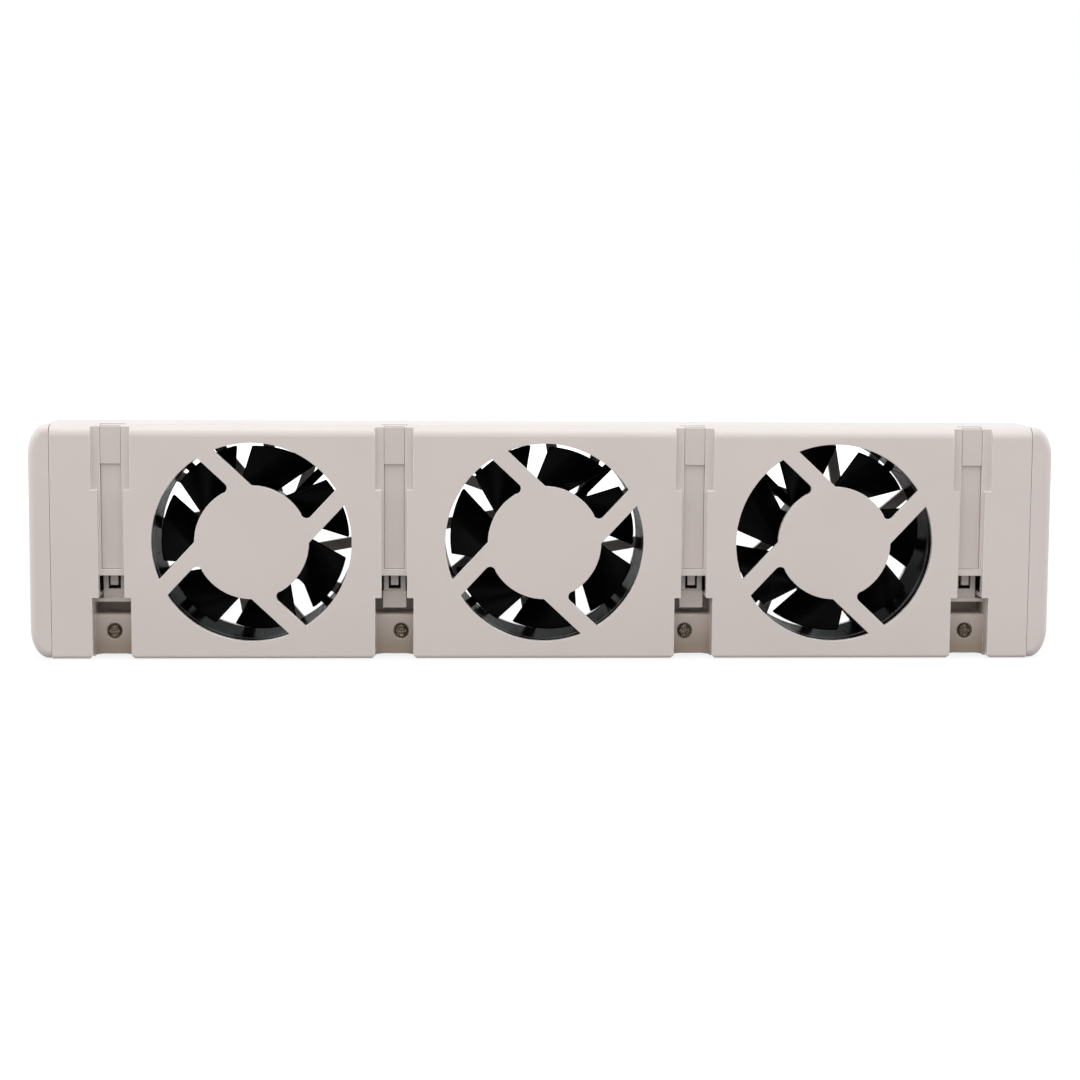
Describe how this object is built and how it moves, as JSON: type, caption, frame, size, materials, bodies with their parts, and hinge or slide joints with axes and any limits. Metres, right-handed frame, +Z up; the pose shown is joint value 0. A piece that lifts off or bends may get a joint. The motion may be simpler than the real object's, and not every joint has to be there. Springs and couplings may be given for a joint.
{
  "type": "radiator fan bar",
  "caption": "Slim off-white fan bar that stands on its long edge or hangs on sliding magnet arms, with round black axial fans behind pinwheel openings.",
  "frame": {"origin": "middle of the long lower side that the bar stands on", "axes": "+X along the bar to the right in the picture, +Y from the pictured face to the rear grilles, +Z up along the magnet arms' travel"},
  "size_m": [0.294, 0.029, 0.067],
  "materials": {
    "off_white_plastic": "smooth moulded satin, warm off-white",
    "arm_plastic": "smooth moulded satin, warm off-white",
    "fan_black_plastic": "glossy black moulding",
    "socket_black_plastic": "matt black",
    "screw_metal": "dark nickel plate",
    "magnet_nickel": "bright nickel plate",
    "shaft_steel": "ground",
    "bearing_bronze": "sintered bronze",
    "ring_ferrite": "dark bonded ferrite",
    "core_steel": "stacked sheet",
    "copper_wire": "enamelled copper",
    "board_laminate": "green solder mask",
    "lead_sleeve": "black sleeve"
  },
  "bodies": {
    "housing": {"front_cover": "off_white_plastic", "rear_cover": "off_white_plastic", "left_end_cap": "off_white_plastic", "right_end_cap": "off_white_plastic", "power_socket": "socket_black_plastic", "link_socket": "socket_black_plastic", "control_board": "board_laminate", "link_board": "board_laminate", "link_lead": "lead_sleeve", "cover_screw_1": "screw_metal", "cover_screw_2": "screw_metal", "cover_screw_3": "screw_metal", "cover_screw_4": "screw_metal", "fan_frame_1": "fan_black_plastic", "bearing_1": "bearing_bronze", "stator_core_1": "core_steel", "stator_coils_1": "copper_wire", "fan_board_1": "board_laminate", "fan_lead_1": "lead_sleeve", "fan_frame_2": "fan_black_plastic", "bearing_2": "bearing_bronze", "stator_core_2": "core_steel", "stator_coils_2": "copper_wire", "fan_board_2": "board_laminate", "fan_lead_2": "lead_sleeve", "fan_frame_3": "fan_black_plastic", "bearing_3": "bearing_bronze", "stator_core_3": "core_steel", "stator_coils_3": "copper_wire", "fan_board_3": "board_laminate", "fan_lead_3": "lead_sleeve"},
    "rotor_1_body": {"rotor_1": "fan_black_plastic", "rotor_magnet_1": "ring_ferrite", "rotor_shaft_1": "shaft_steel"},
    "rotor_2_body": {"rotor_2": "fan_black_plastic", "rotor_magnet_2": "ring_ferrite", "rotor_shaft_2": "shaft_steel"},
    "rotor_3_body": {"rotor_3": "fan_black_plastic", "rotor_magnet_3": "ring_ferrite", "rotor_shaft_3": "shaft_steel"},
    "arm_1_body": {"magnet_arm_1": "arm_plastic", "arm_magnet_1": "magnet_nickel"},
    "arm_2_body": {"magnet_arm_2": "arm_plastic", "arm_magnet_2": "magnet_nickel"},
    "arm_3_body": {"magnet_arm_3": "arm_plastic", "arm_magnet_3": "magnet_nickel"},
    "arm_4_body": {"magnet_arm_4": "arm_plastic", "arm_magnet_4": "magnet_nickel"}
  },
  "joints": [
    {"name": "rotor_1_spin", "type": "hinge", "parent": "housing", "child": "rotor_1_body", "pos_m": [-0.08375, 0, 0.0335], "axis": [0, -1, 0], "continuous": true},
    {"name": "rotor_2_spin", "type": "hinge", "parent": "housing", "child": "rotor_2_body", "pos_m": [0, 0, 0.0335], "axis": [0, -1, 0], "continuous": true},
    {"name": "rotor_3_spin", "type": "hinge", "parent": "housing", "child": "rotor_3_body", "pos_m": [0.08375, 0, 0.0335], "axis": [0, -1, 0], "continuous": true},
    {"name": "arm_1_slide", "type": "slide", "parent": "housing", "child": "arm_1_body", "axis": [0, 0, 1], "range_m": [0, 0.022]},
    {"name": "arm_2_slide", "type": "slide", "parent": "housing", "child": "arm_2_body", "axis": [0, 0, 1], "range_m": [0, 0.022]},
    {"name": "arm_3_slide", "type": "slide", "parent": "housing", "child": "arm_3_body", "axis": [0, 0, 1], "range_m": [0, 0.022]},
    {"name": "arm_4_slide", "type": "slide", "parent": "housing", "child": "arm_4_body", "axis": [0, 0, 1], "range_m": [0, 0.022]}
  ]
}
